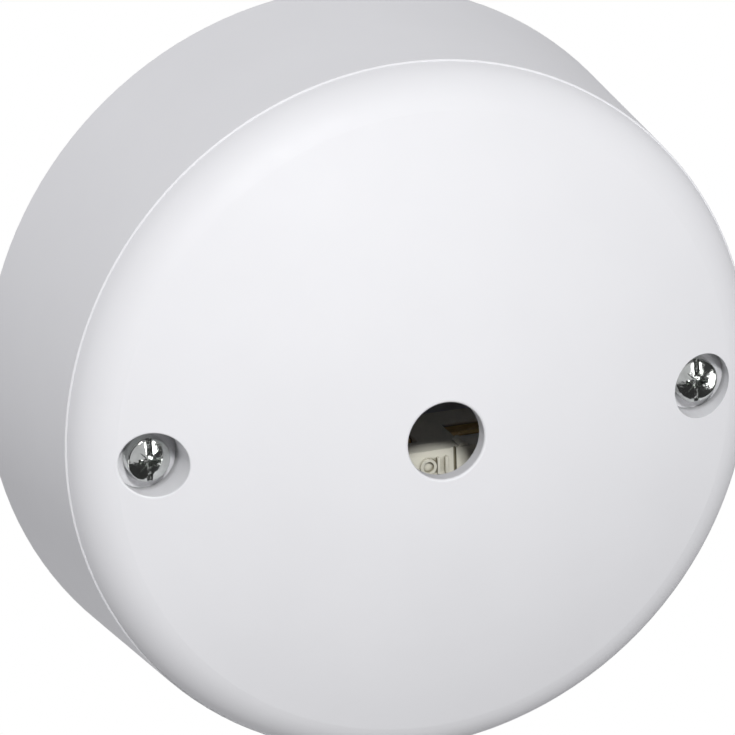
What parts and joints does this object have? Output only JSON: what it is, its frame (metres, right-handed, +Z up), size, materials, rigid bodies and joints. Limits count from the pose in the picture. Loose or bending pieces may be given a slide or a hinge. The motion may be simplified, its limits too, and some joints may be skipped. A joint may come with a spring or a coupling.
{
  "type": "electrical ceiling rose",
  "caption": "Round surface ceiling rose: drafted box, domed screw-on cover with a central cord outlet, terminal block and cord grip inside.",
  "frame": {"origin": "centre of the flat face that lies on the ceiling", "axes": "+Z up into the ceiling, the rose hangs along -Z; the cover screws lie on X, the terminal block towards +Y and the cable entry towards -Y"},
  "size_m": [0.0922, 0.0922, 0.041],
  "materials": {
    "box_plastic": "satin white moulding",
    "cover_plastic": "satin white moulding",
    "block_plastic": "cream moulding",
    "bright_screw": "bright plated",
    "plated_steel": "zinc plated",
    "brass": "bare brass"
  },
  "bodies": {
    "box": {"base_box": "box_plastic", "terminal_block": "block_plastic", "screw_insert_left": "brass", "screw_insert_right": "brass", "block_screw_left": "plated_steel", "block_screw_right": "plated_steel", "terminal_bar_1": "brass", "terminal_bar_2": "brass", "terminal_bar_3": "brass"},
    "cover": {"cover": "cover_plastic"},
    "cover_screw_left": {"cover_screw_left": "bright_screw"},
    "cover_screw_right": {"cover_screw_right": "bright_screw"},
    "cord_grip": {"cord_grip_saddle": "box_plastic"},
    "grip_screw_left": {"grip_screw_left": "plated_steel"},
    "grip_screw_right": {"grip_screw_right": "plated_steel"},
    "clamp_1a": {"clamp_plate_1a": "plated_steel"},
    "terminal_screw_1a": {"terminal_screw_1a": "plated_steel"},
    "clamp_1b": {"clamp_plate_1b": "plated_steel"},
    "terminal_screw_1b": {"terminal_screw_1b": "plated_steel"},
    "clamp_2a": {"clamp_plate_2a": "plated_steel"},
    "terminal_screw_2a": {"terminal_screw_2a": "plated_steel"},
    "clamp_2b": {"clamp_plate_2b": "plated_steel"},
    "terminal_screw_2b": {"terminal_screw_2b": "plated_steel"},
    "clamp_3a": {"clamp_plate_3a": "plated_steel"},
    "terminal_screw_3a": {"terminal_screw_3a": "plated_steel"},
    "clamp_3b": {"clamp_plate_3b": "plated_steel"},
    "terminal_screw_3b": {"terminal_screw_3b": "plated_steel"}
  },
  "joints": [
    {"name": "cover_lower", "type": "slide", "parent": "box", "child": "cover", "axis": [0, 0, -1], "range_m": [0, 0.011]},
    {"name": "cover_screw_left_turn", "type": "hinge", "parent": "cover", "child": "cover_screw_left", "pos_m": [-0.036, 0, -0.031], "axis": [0, 0, -1], "range_deg": [0, 7920.5]},
    {"name": "cover_screw_right_turn", "type": "hinge", "parent": "cover", "child": "cover_screw_right", "pos_m": [0.036, 0, -0.031], "axis": [0, 0, -1], "range_deg": [0, 7920.5]},
    {"name": "cord_grip_open", "type": "slide", "parent": "box", "child": "cord_grip", "axis": [0, 0, -1], "range_m": [0, 0.005]},
    {"name": "grip_screw_left_turn", "type": "hinge", "parent": "cord_grip", "child": "grip_screw_left", "pos_m": [-0.0085, -0.009, -0.0208], "axis": [0, 0, -1], "range_deg": [0, 3600.5]},
    {"name": "grip_screw_right_turn", "type": "hinge", "parent": "cord_grip", "child": "grip_screw_right", "pos_m": [0.0085, -0.009, -0.0208], "axis": [0, 0, -1], "range_deg": [0, 3600.5]},
    {"name": "clamp_1a_open", "type": "slide", "parent": "box", "child": "clamp_1a", "axis": [0, 0, -1], "range_m": [0, 0.003]},
    {"name": "terminal_screw_1a_turn", "type": "hinge", "parent": "clamp_1a", "child": "terminal_screw_1a", "pos_m": [-0.0114, 0.014, -0.02005], "axis": [0, 0, -1], "range_deg": [0, 2160.5]},
    {"name": "clamp_1b_open", "type": "slide", "parent": "box", "child": "clamp_1b", "axis": [0, 0, -1], "range_m": [0, 0.003]},
    {"name": "terminal_screw_1b_turn", "type": "hinge", "parent": "clamp_1b", "child": "terminal_screw_1b", "pos_m": [-0.0114, 0.0216, -0.02005], "axis": [0, 0, -1], "range_deg": [0, 2160.5]},
    {"name": "clamp_2a_open", "type": "slide", "parent": "box", "child": "clamp_2a", "axis": [0, 0, -1], "range_m": [0, 0.003]},
    {"name": "terminal_screw_2a_turn", "type": "hinge", "parent": "clamp_2a", "child": "terminal_screw_2a", "pos_m": [0, 0.014, -0.02005], "axis": [0, 0, -1], "range_deg": [0, 2160.5]},
    {"name": "clamp_2b_open", "type": "slide", "parent": "box", "child": "clamp_2b", "axis": [0, 0, -1], "range_m": [0, 0.003]},
    {"name": "terminal_screw_2b_turn", "type": "hinge", "parent": "clamp_2b", "child": "terminal_screw_2b", "pos_m": [0, 0.0216, -0.02005], "axis": [0, 0, -1], "range_deg": [0, 2160.5]},
    {"name": "clamp_3a_open", "type": "slide", "parent": "box", "child": "clamp_3a", "axis": [0, 0, -1], "range_m": [0, 0.003]},
    {"name": "terminal_screw_3a_turn", "type": "hinge", "parent": "clamp_3a", "child": "terminal_screw_3a", "pos_m": [0.0114, 0.014, -0.02005], "axis": [0, 0, -1], "range_deg": [0, 2160.5]},
    {"name": "clamp_3b_open", "type": "slide", "parent": "box", "child": "clamp_3b", "axis": [0, 0, -1], "range_m": [0, 0.003]},
    {"name": "terminal_screw_3b_turn", "type": "hinge", "parent": "clamp_3b", "child": "terminal_screw_3b", "pos_m": [0.0114, 0.0216, -0.02005], "axis": [0, 0, -1], "range_deg": [0, 2160.5]}
  ],
  "couplings": [
    {"joint": "cover_screw_left_turn", "follows": "cover_lower", "rad_per_m": 12566},
    {"joint": "cover_screw_right_turn", "follows": "cover_lower", "rad_per_m": 12566},
    {"joint": "grip_screw_left_turn", "follows": "cord_grip_open", "rad_per_m": 12566},
    {"joint": "grip_screw_right_turn", "follows": "cord_grip_open", "rad_per_m": 12566},
    {"joint": "terminal_screw_1a_turn", "follows": "clamp_1a_open", "rad_per_m": 12566},
    {"joint": "terminal_screw_1b_turn", "follows": "clamp_1b_open", "rad_per_m": 12566},
    {"joint": "terminal_screw_2a_turn", "follows": "clamp_2a_open", "rad_per_m": 12566},
    {"joint": "terminal_screw_2b_turn", "follows": "clamp_2b_open", "rad_per_m": 12566},
    {"joint": "terminal_screw_3a_turn", "follows": "clamp_3a_open", "rad_per_m": 12566},
    {"joint": "terminal_screw_3b_turn", "follows": "clamp_3b_open", "rad_per_m": 12566}
  ]
}
